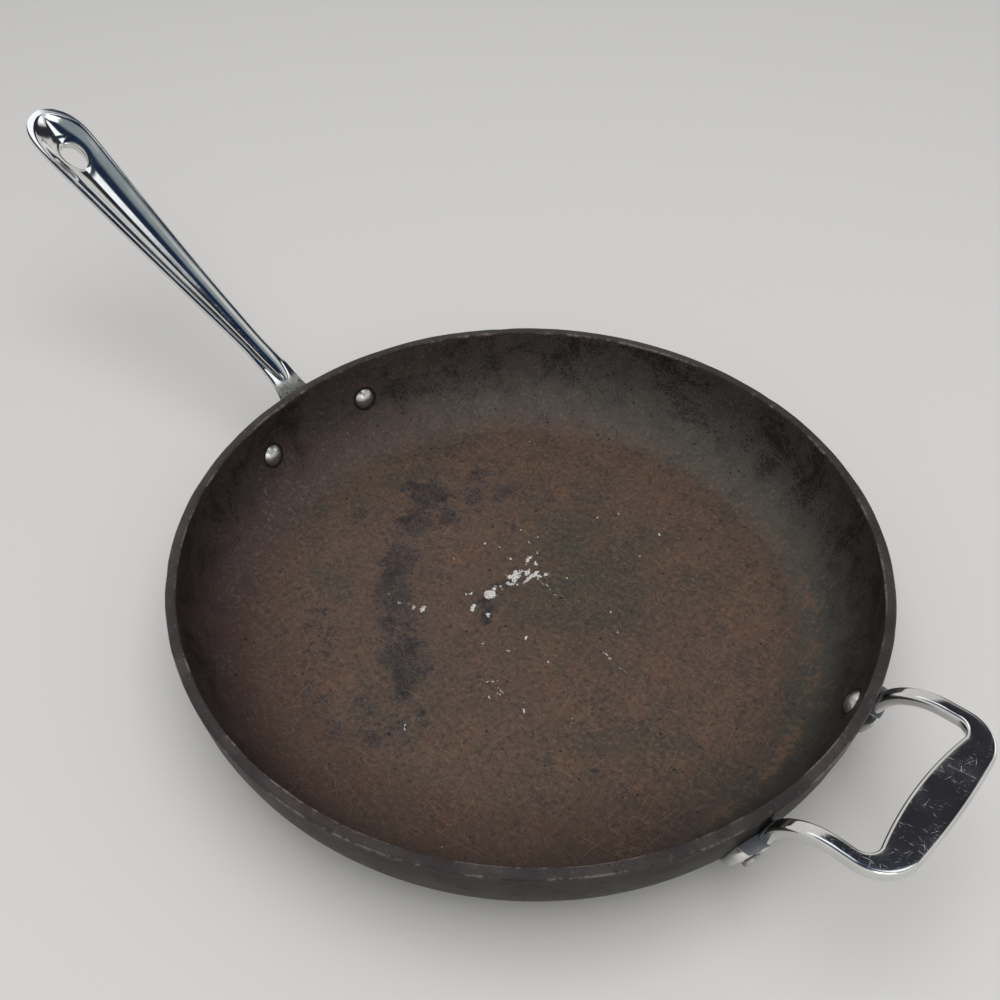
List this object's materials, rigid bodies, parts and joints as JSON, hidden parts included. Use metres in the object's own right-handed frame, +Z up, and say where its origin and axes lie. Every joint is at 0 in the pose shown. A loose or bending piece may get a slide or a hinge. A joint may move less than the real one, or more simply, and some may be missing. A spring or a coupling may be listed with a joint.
{
  "type": "frying pan",
  "caption": "Burnt hard-anodised frying pan with a scooped steel handle, a helper loop opposite it and domed rivets; the cooking face is scorched, flaked and scratched.",
  "frame": {"origin": "centre of the pan's flat underside, where it rests on a hob or table", "axes": "+Z up, square to the underside; +X from the pan's centre along the long handle; the helper loop points along -X"},
  "size_m": [0.6029, 0.33, 0.1342],
  "materials": {
    "burnt_aluminium": "burnt, pitted and scratched dark anodised coating",
    "polished_steel": "mirror-polished stainless steel with scratches and scorching near the rim",
    "rivet_steel": "dull stainless steel with small dents"
  },
  "bodies": {
    "root": {"pan_body": "burnt_aluminium", "long_handle": "polished_steel", "helper_handle": "polished_steel", "handle_rivet_left": "rivet_steel", "handle_rivet_right": "rivet_steel", "helper_rivet_left": "rivet_steel", "helper_rivet_right": "rivet_steel"}
  },
  "joints": []
}
